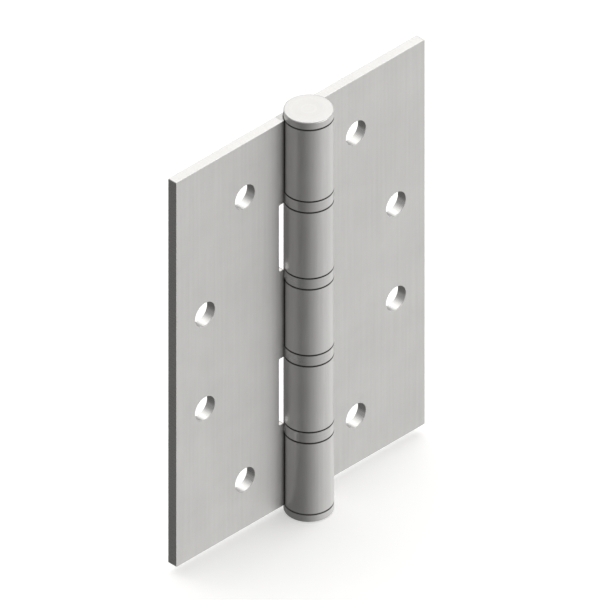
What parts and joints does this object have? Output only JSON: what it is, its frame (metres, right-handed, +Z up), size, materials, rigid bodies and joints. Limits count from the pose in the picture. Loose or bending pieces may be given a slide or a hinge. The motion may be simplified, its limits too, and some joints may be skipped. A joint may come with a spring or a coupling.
{
  "type": "ball bearing butt hinge",
  "caption": "Butt hinge laid open flat: two stamped leaves rolled round one fixed pin, with a thin thrust bearing between each pair of knuckles.",
  "frame": {"origin": "on the pin axis at the hinge's mid-height", "axes": "+X along the swinging leaf when the hinge is open flat, +Y towards the leaves' backs, away from the side that the barrel stands out from, +Z up the pin"},
  "size_m": [0.0762, 0.011, 0.106],
  "materials": {
    "leaf_steel": "satin stainless steel, fine upright grain",
    "pin_steel": "turned stainless steel",
    "case_steel": "drawn stainless steel, bright",
    "race_steel": "hardened and ground",
    "ball_steel": "polished"
  },
  "bodies": {
    "fixed_leaf": {"leaf_three_knuckle": "leaf_steel", "hinge_pin": "pin_steel", "bottom_plug": "pin_steel", "bearing_1_upper_race": "race_steel", "bearing_2_case": "case_steel", "bearing_2_lower_race": "race_steel", "bearing_3_upper_race": "race_steel", "bearing_4_case": "case_steel", "bearing_4_lower_race": "race_steel"},
    "swinging_leaf": {"leaf_two_knuckle": "leaf_steel", "bearing_1_case": "case_steel", "bearing_1_lower_race": "race_steel", "bearing_2_upper_race": "race_steel", "bearing_3_case": "case_steel", "bearing_3_lower_race": "race_steel", "bearing_4_upper_race": "race_steel"},
    "ball_ring_1": {"bearing_1_balls": "ball_steel"},
    "ball_ring_2": {"bearing_2_balls": "ball_steel"},
    "ball_ring_3": {"bearing_3_balls": "ball_steel"},
    "ball_ring_4": {"bearing_4_balls": "ball_steel"}
  },
  "joints": [
    {"name": "leaf_swing", "type": "hinge", "parent": "fixed_leaf", "child": "swinging_leaf", "pos_m": [0, 0, 0], "axis": [0, 0, -1], "range_deg": [-90, 180]},
    {"name": "ball_ring_1_turn", "type": "hinge", "parent": "fixed_leaf", "child": "ball_ring_1", "pos_m": [0, 0, 0.03075], "axis": [0, 0, -1], "range_deg": [-45, 90]},
    {"name": "ball_ring_2_turn", "type": "hinge", "parent": "fixed_leaf", "child": "ball_ring_2", "pos_m": [0, 0, 0.01035], "axis": [0, 0, -1], "range_deg": [-45, 90]},
    {"name": "ball_ring_3_turn", "type": "hinge", "parent": "fixed_leaf", "child": "ball_ring_3", "pos_m": [0, 0, -0.01005], "axis": [0, 0, -1], "range_deg": [-45, 90]},
    {"name": "ball_ring_4_turn", "type": "hinge", "parent": "fixed_leaf", "child": "ball_ring_4", "pos_m": [0, 0, -0.03045], "axis": [0, 0, -1], "range_deg": [-45, 90]}
  ],
  "couplings": [
    {"joint": "ball_ring_1_turn", "follows": "leaf_swing", "ratio": 0.5},
    {"joint": "ball_ring_2_turn", "follows": "leaf_swing", "ratio": 0.5},
    {"joint": "ball_ring_3_turn", "follows": "leaf_swing", "ratio": 0.5},
    {"joint": "ball_ring_4_turn", "follows": "leaf_swing", "ratio": 0.5}
  ]
}
